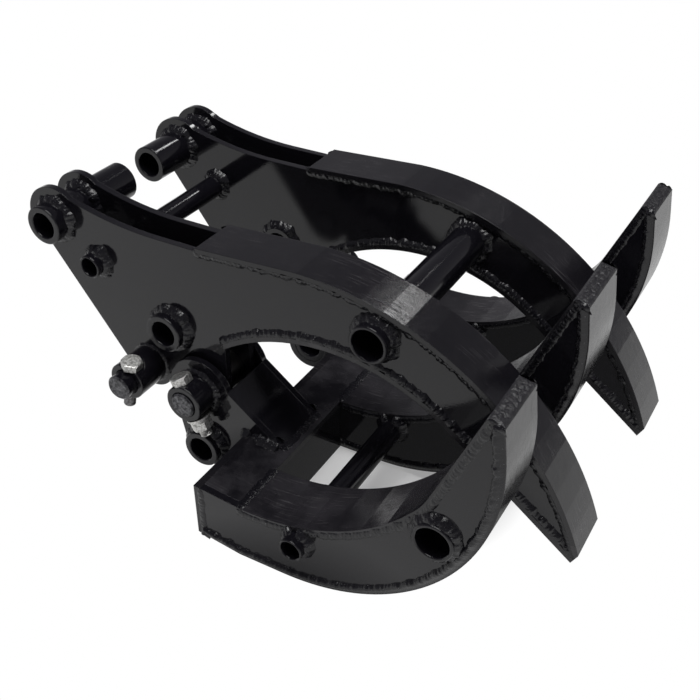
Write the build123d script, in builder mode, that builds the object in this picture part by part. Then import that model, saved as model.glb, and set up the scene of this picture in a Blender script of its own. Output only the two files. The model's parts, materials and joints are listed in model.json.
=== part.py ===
from build123d import *
import os
from math import acos, atan2, cos, hypot, radians, sin

# A grapple for handling logs. The lower jaw has three box tines on a cross beam, and
# the upper jaw has two arched box arms that swing down between the tines about a
# hinge. Lengths are in millimetres. X runs from the hitch to the tine tips, Y runs
# along the hinge and Z is up. Outlines are drawn in the side view, with the hinge
# axis at x = 0 and the ground at z = 0.

os.makedirs("parts", exist_ok=True)

# Fits and clearances
running_fit = 0.05
slip_fit = 0.1
seat_gap = 0.05
body_gap = 0.3

# Plate stock
plate = 8.0
arm_cover = 6.0
tine_cover = 6.0
tine_shoe = 8.0

# Pins, tubes and bolts
pin_r = 15.0
boss_r = 22.5
small_tube_r = 13.5
small_tube_wall = 2.6
large_tube_r = 21.2
large_tube_wall = 4.0
bolt_r = 7.0
bolt_head_across = 22.0
bolt_head_height = 9.0
nut_height = 11.0
washer_r = 14.0
washer_height = 5.0

# The hinge and the upper jaw's pin axes, in the side view
hinge_z = 112.0
link_x, link_z = -191.0, 273.0
dipper_x, dipper_z = -41.0, 176.5
corner_x, corner_z = -78.0, 116.0
small_cross_x, small_cross_z = -136.0, 234.0
large_cross_x, large_cross_z = 215.0, 248.0

# Upper jaw arms
arm_centre_y = 112.5
arm_width = 52.0
arm_cover_width = 60.0
link_lobe_r = 37.8
arm_edge_margin = 31.0
arm_hinge_lobe_r = 31.0
arm_top_z = 285.0
arm_top_flat_x = -50.0
arm_shoulder_x, arm_shoulder_z = -182.0, 307.0
cover_start_x = 5.5
crease_x, crease_z = 124.0, 297.3
arm_back_r = 334.0
arm_tip_x, arm_tip_z = 445.4, 69.3
arm_tip_width = 14.0
arm_tip_angle = 62.0
tip_run_on = 12.0
arch_neck_z = 172.5
arch_peak_x, arch_peak_z = 170.9, 267.6
arch_r = 220.0
notch_x, notch_z = -46.0, 100.0

# Reach of the tubes and pins along Y
link_tube_inner, link_tube_outer = 25.0, 159.0
dipper_tube_inner, dipper_tube_outer = 79.0, 155.0
cross_tube_outer = 155.0
corner_boss_outer = 183.0
corner_pin_proud = 15.0
corner_pin_inner_proud = 3.0
hinge_boss_outer = 181.5
hinge_pin_proud = 3.0
hinge_pin_inner_proud = 4.0
stay_tube_outer = 166.0
corner_bolt_edge = 8.0
hinge_bolt_edge = 13.0
corner_bolt_tail = 16.5
hinge_bolt_tail = 9.0
corner_bolt_lean = -11.5
hinge_bolt_lean = 23.0
corner_bolt_seat = 18.0
hinge_bolt_seat = 21.0
rim_chamfer = 1.0
pin_chamfer = 2.0

# Hinge ears and stay bar tubes
stay_x, stay_z = 5.0, 38.0
ear_play = 1.0
ear_hinge_lobe_r = 40.0
ear_stay_lobe_r = 31.0
ear_nose_x, ear_nose_z = 73.9, 94.7
ear_root_top_z = 76.0
ear_root_bottom_z = 12.0

# Cross beam
beam_back_x = 61.0
beam_front_x = 119.0
beam_top_z = 75.0
beam_front_z = 68.5
beam_heel_z = 8.0
beam_heel_x = 115.0
beam_plate = 8.0

# Tines
outer_tine_y = 215.0
outer_tine_width = 70.0
middle_tine_width = 84.0
tine_curl_x = 169.5
tine_outer_r = 229.0
tine_turn = 96.9
tine_tip_run = 28.7
tine_tip_depth, tine_tip_rise = 16.4, 3.5
tine_knee_x = 242.0
tine_bend_x, tine_bend_z = 324.4, 168.1
tine_inner_r = 240.0
tine_bend_r = 80.0
tie_tube_x, tie_tube_z = 189.0, 56.0
tie_tube_proud = 15.0
tip_tube_x, tip_tube_z = 340.0, 138.0
tip_tube_proud = 10.0
tip_tube_inner_proud = 3.0

# Values worked out from the sizes above
sides = (("near", -1), ("far", 1))
hinge_x = -(arm_tip_x + link_x - link_lobe_r) / 2
bore_r = pin_r + running_fit
boss_hole_r = boss_r + slip_fit
bolt_hole_r = bolt_r + slip_fit
arm_outer_y = arm_centre_y + arm_width / 2
arm_inner_y = arm_centre_y - arm_width / 2
ear_inner_y = arm_centre_y - arm_cover_width / 2 - ear_play
ear_outer_y = arm_centre_y + arm_cover_width / 2 + ear_play
tine_side_y = outer_tine_y + outer_tine_width / 2
corner_bolt_y = corner_boss_outer - corner_bolt_edge
hinge_bolt_y = hinge_boss_outer - hinge_bolt_edge
tip_cut_x = arm_tip_width * cos(radians(arm_tip_angle))
tip_cut_z = arm_tip_width * sin(radians(arm_tip_angle))


def wall_plane(y):
    """A plane facing the near side at y, with its own x along X and its y along Z."""
    return Plane(origin=(hinge_x, y, 0), x_dir=(1, 0, 0), z_dir=(0, -1, 0))


def keep(piece, label):
    """Names a finished piece and writes its file."""
    piece.part.label = label
    export_step(piece.part, f"parts/{label}.step")


def tangent_points(first, first_r, second, second_r, side):
    """Ends of the straight line that touches two circles on their left or right side."""
    run_x = second[0] - first[0]
    run_z = second[1] - first[1]
    heading = atan2(run_z, run_x)
    lean = acos((first_r - second_r) / hypot(run_x, run_z))
    normal = heading + side * lean
    return [
        (centre[0] + radius * cos(normal), centre[1] + radius * sin(normal))
        for centre, radius in ((first, first_r), (second, second_r))
    ]


def beyond(start, end, distance):
    """The point that lies a distance past end on the line from start."""
    run_x = end[0] - start[0]
    run_z = end[1] - start[1]
    share = 1 + distance / hypot(run_x, run_z)
    return (start[0] + share * run_x, start[1] + share * run_z)


link = (link_x, link_z)
dipper = (dipper_x, dipper_z)
corner = (corner_x, corner_z)
hinge = (0.0, hinge_z)
small_cross = (small_cross_x, small_cross_z)
large_cross = (large_cross_x, large_cross_z)
stay = (stay_x, stay_z)
tie_tube = (tie_tube_x, tie_tube_z)
tip_tube = (tip_tube_x, tip_tube_z)
arm_tip = (arm_tip_x, arm_tip_z)
arm_tip_under = (arm_tip_x - tip_cut_x, arm_tip_z - tip_cut_z)
arm_edge_top, arm_edge_bottom = tangent_points(link, arm_edge_margin, corner, arm_edge_margin, -1)

# The arm in side view: the silhouette of the box, covers included, without its arch
cover_start = (cover_start_x, arm_top_z + arm_cover)
crease = (crease_x, crease_z)

with BuildSketch() as arm_blank:
    with BuildLine():
        Line(arm_edge_bottom, arm_edge_top)
        Line(arm_edge_top, link)
        Line(link, (arm_shoulder_x, arm_shoulder_z))
        shoulder = Line((arm_top_flat_x, arm_top_z), (cover_start_x, arm_top_z))
        TangentArc(shoulder @ 0, (arm_shoulder_x, arm_shoulder_z), tangent=(-1, 0))
        Line(shoulder @ 1, cover_start)
        Line(cover_start, crease)
        RadiusArc(crease, arm_tip, arm_back_r)
        Line(arm_tip, arm_tip_under)
        Polyline(
            arm_tip_under,
            (arm_hinge_lobe_r, hinge_z),
            hinge,
            (notch_x, notch_z),
            corner,
            arm_edge_bottom,
        )
    make_face()

# The open arch under the arm, from the neck above the hinge to past the tip
arch_neck = (arm_hinge_lobe_r, arch_neck_z)
arch_peak = (arch_peak_x, arch_peak_z)
arch_foot = beyond(arch_peak, arch_neck, hypot(*arch_neck))
arch_end = beyond(arch_peak, arm_tip_under, tip_run_on)

with BuildSketch() as past_neck:
    with Locations(((arch_end[0] + arm_hinge_lobe_r) / 2, crease_z / 2)):
        Rectangle(arch_end[0] - arm_hinge_lobe_r, crease_z)

with BuildSketch() as arch_void:
    with BuildLine():
        FilletPolyline(arch_foot, arch_peak, arch_end, radius=arch_r)
        Polyline(arch_end, (arch_end[0], 0), (arch_foot[0], 0), arch_foot)
    make_face()
    add(past_neck.sketch, mode=Mode.INTERSECT)

with BuildSketch() as arm_silhouette:
    add(arm_blank.sketch)
    add(arch_void.sketch, mode=Mode.SUBTRACT)


def arm_top_strip(thickness):
    """The convex cover in side view, rolled along the back of the arm."""
    with BuildSketch() as strip:
        with BuildLine():
            Line(cover_start, crease)
            back = RadiusArc(crease, arm_tip, arm_back_r)
            Line(arm_tip, arm_tip + (back % 1) * tip_run_on)
            offset(amount=thickness, side=Side.RIGHT)
        make_face()
        add(arm_silhouette.sketch, mode=Mode.INTERSECT)
    return strip.sketch


def arm_arch_strip(thickness):
    """The arch cover in side view, along the inside of the arm's bow."""
    with BuildSketch() as strip:
        with BuildLine():
            FilletPolyline(arch_foot, arch_peak, arch_end, radius=arch_r)
            offset(amount=thickness, side=Side.LEFT)
        make_face()
        add(arm_silhouette.sketch, mode=Mode.INTERSECT)
        add(past_neck.sketch, mode=Mode.INTERSECT)
        add(arm_top_strip(arm_cover + seat_gap), mode=Mode.SUBTRACT)
    return strip.sketch


with BuildSketch() as arm_profile:
    add(arm_silhouette.sketch)
    add(arm_top_strip(arm_cover + seat_gap), mode=Mode.SUBTRACT)
    add(arm_arch_strip(arm_cover + seat_gap), mode=Mode.SUBTRACT)
    with Locations(link):
        Circle(link_lobe_r)
    with Locations(corner):
        Circle(arm_edge_margin)
    with Locations(hinge):
        Circle(arm_hinge_lobe_r)
    with Locations(link, dipper, hinge):
        Circle(boss_hole_r, mode=Mode.SUBTRACT)
    with Locations(small_cross):
        Circle(small_tube_r + slip_fit, mode=Mode.SUBTRACT)
    with Locations(large_cross):
        Circle(large_tube_r + slip_fit, mode=Mode.SUBTRACT)
    with Locations(corner):
        Circle(bore_r, mode=Mode.SUBTRACT)

# The tine in side view, with its shoe and top cover, and the beam's slope at its root
tine_root_x = beam_back_x + beam_plate


def beam_top(x):
    """Height of the beam's sloping top at x."""
    fall = (beam_top_z - beam_front_z) / (beam_front_x - beam_back_x)
    return beam_top_z - fall * (x - beam_back_x)


def beam_bottom(x):
    """Height of the beam's rising underside at x."""
    rise = beam_heel_z / (beam_heel_x - beam_back_x)
    return max(0.0, beam_heel_z - rise * (x - beam_back_x))


tine_root_bottom = (tine_root_x, beam_bottom(tine_root_x))
tine_root_top = (tine_root_x, beam_top(tine_root_x))
tine_heel = (beam_heel_x, 0.0)
tine_turn_x, tine_turn_z = cos(radians(tine_turn)), sin(radians(tine_turn))
tine_tip_x = tine_curl_x + tine_outer_r * tine_turn_z + tine_tip_run * tine_turn_x
tine_tip_z = tine_outer_r * (1 - tine_turn_x) + tine_tip_run * tine_turn_z
tine_tip = (tine_tip_x, tine_tip_z)
tine_tip_back = (tine_tip_x - tine_tip_depth, tine_tip_z + tine_tip_rise)
tine_throat = (beam_front_x, beam_front_z)
tine_knee = (tine_knee_x, beam_front_z)
tine_bend = (tine_bend_x, tine_bend_z)

with BuildSketch() as tine_silhouette:
    with BuildLine():
        Line(tine_root_bottom, tine_heel)
        Line(tine_heel, (tine_curl_x, 0))
        tine_curl = JernArc((tine_curl_x, 0), (1, 0), tine_outer_r, tine_turn)
        Polyline(tine_curl @ 1, tine_tip, tine_tip_back)
        FilletPolyline(
            tine_tip_back, tine_bend, tine_knee, tine_throat, radius=[tine_bend_r, tine_inner_r]
        )
        Polyline(tine_throat, tine_root_top, tine_root_bottom)
    make_face()


def tine_shoe_strip(thickness):
    """The bottom plate of a tine in side view, from the beam to the tip."""
    with BuildSketch() as strip:
        with BuildLine():
            Line(tine_root_bottom, tine_heel)
            Line(tine_heel, (tine_curl_x, 0))
            curl = JernArc((tine_curl_x, 0), (1, 0), tine_outer_r, tine_turn)
            Line(curl @ 1, tine_tip)
            offset(amount=thickness, side=Side.LEFT)
        make_face()
        add(tine_silhouette.sketch, mode=Mode.INTERSECT)
    return strip.sketch


def tine_top_strip(thickness):
    """The top cover of a tine in side view, from the beam's seam to the tip."""
    with BuildSketch() as strip:
        with BuildLine():
            FilletPolyline(
                tine_throat, tine_knee, tine_bend, tine_tip_back, radius=[tine_inner_r, tine_bend_r]
            )
            offset(amount=thickness, side=Side.RIGHT)
        make_face()
        add(tine_silhouette.sketch, mode=Mode.INTERSECT)
        add(tine_shoe_strip(tine_shoe + seat_gap), mode=Mode.SUBTRACT)
    return strip.sketch


with BuildSketch() as beam_top_profile:
    with BuildLine():
        Polyline(
            tine_root_top,
            tine_throat,
            (beam_front_x, beam_front_z - beam_plate),
            (tine_root_x, tine_root_top[1] - beam_plate),
            close=True,
        )
    make_face()

beam_inner_x = beam_front_x - beam_plate

with BuildSketch() as beam_bottom_profile:
    with BuildLine():
        Polyline(
            tine_root_bottom,
            tine_heel,
            (beam_front_x, 0),
            (beam_front_x, beam_plate),
            (beam_inner_x, beam_plate),
            (tine_root_x, tine_root_bottom[1] + beam_plate),
            close=True,
        )
    make_face()

with BuildSketch() as beam_front_profile:
    with BuildLine():
        Polyline(
            (beam_inner_x, beam_plate),
            (beam_front_x, beam_plate),
            (beam_front_x, beam_front_z - beam_plate),
            (beam_inner_x, beam_top(beam_inner_x) - beam_plate),
            close=True,
        )
    make_face()

with BuildSketch() as tine_outer_profile:
    add(tine_silhouette.sketch)
    add(tine_shoe_strip(tine_shoe + seat_gap), mode=Mode.SUBTRACT)
    add(tine_top_strip(tine_cover + seat_gap), mode=Mode.SUBTRACT)
    with Locations(tie_tube):
        Circle(small_tube_r + slip_fit, mode=Mode.SUBTRACT)
    with Locations(tip_tube):
        Circle(large_tube_r + slip_fit, mode=Mode.SUBTRACT)

with BuildSketch() as tine_inner_profile:
    add(tine_outer_profile.sketch)
    add(beam_top_profile.sketch, mode=Mode.SUBTRACT)

# The hinge ear in side view: two lobes joined by a web that stands off the beam's back
ear_back_bottom, ear_back_top = tangent_points(stay, ear_stay_lobe_r, hinge, ear_hinge_lobe_r, 1)

with BuildSketch() as ear_profile:
    with BuildLine():
        Polyline(
            ear_back_bottom,
            ear_back_top,
            hinge,
            (0, hinge_z + ear_hinge_lobe_r),
            (ear_nose_x, ear_nose_z),
            (beam_back_x, ear_root_top_z),
            (beam_back_x, ear_root_bottom_z),
            (stay_x, stay_z - ear_stay_lobe_r),
            stay,
            ear_back_bottom,
        )
    make_face()
    with Locations(stay):
        Circle(ear_stay_lobe_r)
    with Locations(hinge):
        Circle(ear_hinge_lobe_r)
    with Locations(stay):
        Circle(boss_hole_r, mode=Mode.SUBTRACT)
    with Locations(hinge):
        Circle(bore_r, mode=Mode.SUBTRACT)


def slab(profile, low_y, high_y):
    """A flat or bent plate: a side view profile that fills low_y to high_y."""
    with BuildPart() as piece:
        with BuildSketch(wall_plane(high_y)):
            add(profile)
        extrude(amount=high_y - low_y)
    return piece


def mirrored_slab(profile, side, inner, outer):
    """A plate between two distances from the middle, on the near or the far side."""
    return slab(profile, min(side * inner, side * outer), max(side * inner, side * outer))


def tube(centre, low_y, high_y, outer_r, inner_r):
    """A straight tube along Y with its bore right through."""
    with BuildPart() as piece:
        with BuildSketch(wall_plane(high_y)):
            with Locations(centre):
                Circle(outer_r)
                Circle(inner_r, mode=Mode.SUBTRACT)
        extrude(amount=high_y - low_y)
        chamfer(piece.edges().filter_by(GeomType.CIRCLE), rim_chamfer)
    return piece


def side_tube(centre, side, inner, outer, outer_r, inner_r):
    """A tube between two distances from the middle, on the near or the far side."""
    return tube(centre, min(side * inner, side * outer), max(side * inner, side * outer), outer_r, inner_r)


def bolt_plane(centre, y, lean):
    """A plane across a bolt at its boss, with its z axis along the bolt to the head."""
    tilt = radians(lean)
    return Plane(
        origin=(hinge_x + centre[0], y, centre[1]),
        x_dir=(0, 1, 0),
        z_dir=(-sin(tilt), 0, cos(tilt)),
    )


def drill_for_bolt(plane):
    """Cuts a bolt's hole right through the part being built."""
    with BuildSketch(plane) as hole:
        Circle(bolt_hole_r)
    extrude(hole.sketch, amount=2 * boss_r, both=True, mode=Mode.SUBTRACT)


def face_for_head(plane, seat):
    """Cuts the flat on the part being built where a bolt's head bears."""
    with BuildSketch(plane.offset(seat)) as spot:
        Circle(washer_r)
    extrude(spot.sketch, amount=boss_r, mode=Mode.SUBTRACT)


def pin(centre, side, inner, outer, plane):
    """A solid pin along Y with chamfered ends and its bolt's cross hole."""
    with BuildPart() as piece:
        with BuildSketch(wall_plane(max(side * inner, side * outer))):
            with Locations(centre):
                Circle(pin_r)
        extrude(amount=outer - inner)
        chamfer(piece.edges().filter_by(GeomType.CIRCLE), pin_chamfer)
        drill_for_bolt(plane)
    return piece


def boss(centre, side, inner, outer, plane, seat):
    """A stub tube on a plate's face, cross drilled for the bolt that holds its pin."""
    with BuildPart() as piece:
        with BuildSketch(wall_plane(max(side * inner, side * outer))):
            with Locations(centre):
                Circle(boss_r)
                Circle(bore_r, mode=Mode.SUBTRACT)
        extrude(amount=outer - inner)
        chamfer(piece.edges().filter_by(GeomType.CIRCLE), rim_chamfer)
        drill_for_bolt(plane)
        face_for_head(plane, seat)
    return piece


def bolts(centre, y, lean, seat, tail):
    """The near and far bolt of one pin axis, each with its hexagon head."""
    with BuildPart() as group:
        for side in (-1, 1):
            across = bolt_plane(centre, side * y, lean)
            with BuildSketch(across.offset(seat)):
                RegularPolygon(bolt_head_across / 2, 6, major_radius=False)
            extrude(amount=bolt_head_height)
            with BuildSketch(across.offset(seat)):
                Circle(bolt_r)
            extrude(amount=-(seat + boss_r + tail))
    return group


# Upper jaw
for side_name, side in sides:
    for place, inner, outer in (
        ("outer", arm_outer_y - plate, arm_outer_y),
        ("inner", arm_inner_y, arm_inner_y + plate),
    ):
        arm_plate = mirrored_slab(arm_profile.sketch, side, inner, outer)
        keep(arm_plate, f"{side_name}_arm_{place}_plate")

    cover_inner = arm_centre_y - arm_cover_width / 2
    cover_outer = arm_centre_y + arm_cover_width / 2
    top_cover = mirrored_slab(arm_top_strip(arm_cover), side, cover_inner, cover_outer)
    keep(top_cover, f"{side_name}_arm_top_cover")
    arch_cover = mirrored_slab(arm_arch_strip(arm_cover), side, cover_inner, cover_outer)
    keep(arch_cover, f"{side_name}_arm_arch_cover")

    link_tube = side_tube(link, side, link_tube_inner, link_tube_outer, boss_r, bore_r)
    keep(link_tube, f"{side_name}_link_tube")
    dipper_tube = side_tube(dipper, side, dipper_tube_inner, dipper_tube_outer, boss_r, bore_r)
    keep(dipper_tube, f"{side_name}_dipper_tube")
    bush = side_tube(
        hinge, side, ear_inner_y + body_gap, ear_outer_y - body_gap, boss_r, bore_r
    )
    keep(bush, f"{side_name}_hinge_bush")

    corner_plane = bolt_plane(corner, side * corner_bolt_y, corner_bolt_lean)
    corner_boss = boss(
        corner, side, arm_outer_y, corner_boss_outer, corner_plane, corner_bolt_seat
    )
    keep(corner_boss, f"{side_name}_corner_boss")
    corner_pin = pin(
        corner,
        side,
        arm_inner_y - corner_pin_inner_proud,
        corner_boss_outer + corner_pin_proud,
        corner_plane,
    )
    keep(corner_pin, f"{side_name}_corner_pin")

small_cross_tube = tube(
    small_cross, -cross_tube_outer, cross_tube_outer, small_tube_r, small_tube_r - small_tube_wall
)
keep(small_cross_tube, "small_cross_tube")
large_cross_tube = tube(
    large_cross, -cross_tube_outer, cross_tube_outer, large_tube_r, large_tube_r - large_tube_wall
)
keep(large_cross_tube, "large_cross_tube")
corner_bolts = bolts(
    corner, corner_bolt_y, corner_bolt_lean, corner_bolt_seat, corner_bolt_tail
)
keep(corner_bolts, "corner_bolts")

# Lower jaw: hinge ears with their pins
for side_name, side in sides:
    for place, inner, outer in (
        ("outer", ear_outer_y, ear_outer_y + plate),
        ("inner", ear_inner_y - plate, ear_inner_y),
    ):
        ear_plate = mirrored_slab(ear_profile.sketch, side, inner, outer)
        keep(ear_plate, f"{side_name}_ear_{place}_plate")

    hinge_plane = bolt_plane(hinge, side * hinge_bolt_y, hinge_bolt_lean)
    hinge_boss = boss(
        hinge, side, ear_outer_y + plate, hinge_boss_outer, hinge_plane, hinge_bolt_seat
    )
    keep(hinge_boss, f"{side_name}_hinge_boss")
    hinge_pin = pin(
        hinge,
        side,
        ear_inner_y - plate - hinge_pin_inner_proud,
        hinge_boss_outer + hinge_pin_proud,
        hinge_plane,
    )
    keep(hinge_pin, f"{side_name}_hinge_pin")
    stay_tube = side_tube(stay, side, ear_inner_y - plate, stay_tube_outer, boss_r, bore_r)
    keep(stay_tube, f"{side_name}_stay_tube")

hinge_bolts = bolts(
    hinge,
    hinge_bolt_y,
    hinge_bolt_lean,
    hinge_bolt_seat,
    washer_height + nut_height + hinge_bolt_tail,
)
keep(hinge_bolts, "hinge_bolts")

with BuildPart() as hinge_washers:
    for side in (-1, 1):
        under = bolt_plane(hinge, side * hinge_bolt_y, hinge_bolt_lean).offset(-boss_r)
        with BuildSketch(under):
            Circle(washer_r)
            Circle(bolt_r + running_fit, mode=Mode.SUBTRACT)
        extrude(amount=-washer_height)
keep(hinge_washers, "hinge_washers")

with BuildPart() as hinge_nuts:
    for side in (-1, 1):
        under = bolt_plane(hinge, side * hinge_bolt_y, hinge_bolt_lean)
        with BuildSketch(under.offset(-boss_r - washer_height)):
            RegularPolygon(bolt_head_across / 2, 6, major_radius=False)
            Circle(bolt_r + running_fit, mode=Mode.SUBTRACT)
        extrude(amount=-nut_height)
keep(hinge_nuts, "hinge_nuts")

# Lower jaw: cross beam
middle_side_y = middle_tine_width / 2
outer_tine_inner_y = outer_tine_y - outer_tine_width / 2

with BuildSketch() as beam_back_profile:
    with BuildLine():
        Polyline(
            (beam_back_x, beam_bottom(beam_back_x)),
            tine_root_bottom,
            tine_root_top,
            (beam_back_x, beam_top(beam_back_x)),
            close=True,
        )
    make_face()

beam_back_plate = slab(beam_back_profile.sketch, -tine_side_y, tine_side_y)
keep(beam_back_plate, "beam_back_plate")
beam_top_plate = slab(beam_top_profile.sketch, -tine_side_y + plate, tine_side_y - plate)
keep(beam_top_plate, "beam_top_plate")

for side_name, side in sides:
    front_plate = mirrored_slab(beam_front_profile.sketch, side, middle_side_y, outer_tine_inner_y)
    keep(front_plate, f"{side_name}_beam_front_plate")
    bottom_plate = mirrored_slab(beam_bottom_profile.sketch, side, middle_side_y, outer_tine_inner_y)
    keep(bottom_plate, f"{side_name}_beam_bottom_plate")

# Lower jaw: three box tines
for side_name, side in sides:
    tine_outer_plate = mirrored_slab(tine_outer_profile.sketch, side, tine_side_y - plate, tine_side_y)
    keep(tine_outer_plate, f"{side_name}_tine_outer_plate")
    tine_inner_plate = mirrored_slab(
        tine_inner_profile.sketch, side, outer_tine_inner_y, outer_tine_inner_y + plate
    )
    keep(tine_inner_plate, f"{side_name}_tine_inner_plate")
    middle_plate = mirrored_slab(tine_inner_profile.sketch, side, middle_side_y - plate, middle_side_y)
    keep(middle_plate, f"middle_tine_{side_name}_plate")
    tip_tube_piece = side_tube(
        tip_tube,
        side,
        outer_tine_inner_y - tip_tube_inner_proud,
        tine_side_y + tip_tube_proud,
        large_tube_r,
        large_tube_r - large_tube_wall,
    )
    keep(tip_tube_piece, f"{side_name}_tip_tube")

for name, centre_y, width in (
    ("near_tine", -outer_tine_y, outer_tine_width),
    ("middle_tine", 0, middle_tine_width),
    ("far_tine", outer_tine_y, outer_tine_width),
):
    shoe = slab(tine_shoe_strip(tine_shoe), centre_y - width / 2, centre_y + width / 2)
    keep(shoe, f"{name}_shoe")
    cover = slab(tine_top_strip(tine_cover), centre_y - width / 2, centre_y + width / 2)
    keep(cover, f"{name}_top_cover")

middle_tip_tube = tube(
    tip_tube,
    -middle_side_y - tip_tube_inner_proud,
    middle_side_y + tip_tube_inner_proud,
    large_tube_r,
    large_tube_r - large_tube_wall,
)
keep(middle_tip_tube, "middle_tip_tube")
tie_half = tine_side_y + tie_tube_proud
tie_tube_piece = tube(tie_tube, -tie_half, tie_half, small_tube_r, small_tube_r - small_tube_wall)
keep(tie_tube_piece, "tie_tube")
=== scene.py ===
import bmesh
import bpy
import json
from math import atan2, cos, pi, radians, sin, tau
from mathutils import Matrix, Vector, noise
from mathutils.bvhtree import BVHTree
from random import Random


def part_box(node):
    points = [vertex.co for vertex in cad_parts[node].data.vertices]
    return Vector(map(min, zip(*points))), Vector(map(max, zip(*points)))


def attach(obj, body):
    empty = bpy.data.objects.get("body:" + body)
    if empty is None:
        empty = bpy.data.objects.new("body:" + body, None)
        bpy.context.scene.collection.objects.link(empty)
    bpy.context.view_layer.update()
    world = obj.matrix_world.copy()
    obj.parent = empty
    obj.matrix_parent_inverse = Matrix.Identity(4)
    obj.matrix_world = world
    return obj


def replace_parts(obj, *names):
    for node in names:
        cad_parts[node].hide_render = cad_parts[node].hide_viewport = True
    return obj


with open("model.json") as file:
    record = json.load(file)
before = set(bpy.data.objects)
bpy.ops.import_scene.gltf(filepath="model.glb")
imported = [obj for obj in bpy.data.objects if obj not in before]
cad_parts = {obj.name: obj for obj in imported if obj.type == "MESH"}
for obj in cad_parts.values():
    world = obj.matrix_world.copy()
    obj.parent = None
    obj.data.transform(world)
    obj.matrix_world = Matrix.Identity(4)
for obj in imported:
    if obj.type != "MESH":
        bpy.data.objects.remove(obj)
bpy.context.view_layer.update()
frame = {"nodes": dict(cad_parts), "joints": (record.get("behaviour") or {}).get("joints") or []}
scene = bpy.context.scene

# The viewpoint: near the tine tips on the near side, looking down at about 35 degrees.
# Places are given in the part's own side view, with the hinge axis at x = 0.
LENS_MM = 52.3
SENSOR_MM = 36
SIGHT = 50

hinge = Vector(frame["joints"][0]["pos_m"])


def at(x, y, z):
    """A place in the frame from side-view millimetres, with x measured from the hinge."""
    return Vector((hinge.x + x / 1000, y / 1000, z / 1000))


eye = at(596.42, -860.65, 803.07)
gaze = Vector((-0.40448, 0.71347, -0.57214))
camera = bpy.data.objects.new("camera", bpy.data.cameras.new("camera"))
camera.data.lens = LENS_MM
camera.data.sensor_width = SENSOR_MM
camera.data.clip_end = SIGHT
camera.matrix_world = Matrix.Translation(eye) @ gaze.to_track_quat("-Z", "Y").to_matrix().to_4x4()
scene.collection.objects.link(camera)
scene.camera = camera
scene.view_settings.view_transform = "Standard"


# The studio: a plain floor that runs to the edge of sight under soft lamps. It shows white
# to the eye, with a faint shadow under the object. The paint mirrors it a little greyer,
# and much greyer close to the object: a painted shadow for the object's shadow on the floor.
def linear(hex_code):
    """The linear colour of an sRGB hex code."""
    channels = [int(hex_code[k : k + 2], 16) / 255 for k in (0, 2, 4)]
    return [c / 12.92 if c <= 0.04045 else ((c + 0.055) / 1.055) ** 2.4 for c in channels] + [1]


def add(tree, kind, links=None, **settings):
    """Adds a node, sets its own settings, and fills its inputs with values or links."""
    node = tree.nodes.new(kind)
    for key, value in settings.items():
        setattr(node, key, value)
    for key, value in (links or {}).items():
        if isinstance(value, bpy.types.NodeSocket):
            tree.links.new(value, node.inputs[key])
        else:
            node.inputs[key].default_value = value
    return node


def per(mm):
    """A pattern's scale, in repeats to the metre, from the real size of one repeat."""
    return 1000 / mm


FLOOR_HALF = 12
GAP_CENTRE = at(195, -40, 0)
GAP_HALF = 0.135
GAP_RIM = (0.75 * GAP_HALF, 1.2 * GAP_HALF)
OPEN_GLOW = 1.0
GAP_GLOW = 0.3
MIRROR_RIM = (1.5 * GAP_HALF, 2.1 * GAP_HALF)
MIRROR_GLOW = 0.76
MIRROR_PAINTED_SHADOW_GLOW = 0.16

floor_mesh = bpy.data.meshes.new("floor")
bm = bmesh.new()
bmesh.ops.create_grid(bm, x_segments=2, y_segments=2, size=FLOOR_HALF)
bm.to_mesh(floor_mesh)
bm.free()
floor = bpy.data.objects.new("floor", floor_mesh)
scene.collection.objects.link(floor)

floor_paint = bpy.data.materials.new("white_studio_floor")
floor_paint.use_nodes = True
tree = floor_paint.node_tree
tree.nodes.clear()
coords = add(tree, "ShaderNodeTexCoord").outputs["Object"]
offset = add(tree, "ShaderNodeVectorMath", {0: coords, 1: GAP_CENTRE}, operation="DISTANCE")
seen = add(tree, "ShaderNodeMapRange", {
    "Value": offset.outputs["Value"], "From Min": GAP_RIM[0], "From Max": GAP_RIM[1],
    "To Min": GAP_GLOW, "To Max": OPEN_GLOW,
})
# The glow that the paint mirrors is turned down near the object: a painted shadow.
mirror_glow_with_painted_shadow = add(tree, "ShaderNodeMapRange", {
    "Value": offset.outputs["Value"], "From Min": MIRROR_RIM[0], "From Max": MIRROR_RIM[1],
    "To Min": MIRROR_PAINTED_SHADOW_GLOW, "To Max": MIRROR_GLOW,
})
path = add(tree, "ShaderNodeLightPath")
straight = add(tree, "ShaderNodeMath", {
    0: path.outputs["Is Camera Ray"], 1: seen.outputs[0],
}, operation="MULTIPLY")
reflected = add(tree, "ShaderNodeMath", {
    0: path.outputs["Is Glossy Ray"], 1: path.outputs["Is Transmission Ray"],
}, operation="MAXIMUM")
share = add(tree, "ShaderNodeMath", {
    0: straight.outputs[0], 1: reflected.outputs[0],
}, operation="MAXIMUM")
level = add(tree, "ShaderNodeMix", {
    "Factor": reflected.outputs[0], "A": 1.0, "B": mirror_glow_with_painted_shadow.outputs[0],
}, data_type="FLOAT")
matt = add(tree, "ShaderNodeBsdfDiffuse", {"Color": linear("fbfbfb")})
glow = add(tree, "ShaderNodeEmission", {"Color": linear("ffffff"), "Strength": level.outputs[0]})
mix = add(tree, "ShaderNodeMixShader", {0: share.outputs[0], 1: matt.outputs[0], 2: glow.outputs[0]})
add(tree, "ShaderNodeOutputMaterial", {"Surface": mix.outputs[0]})
floor_mesh.materials.append(floor_paint)

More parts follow.
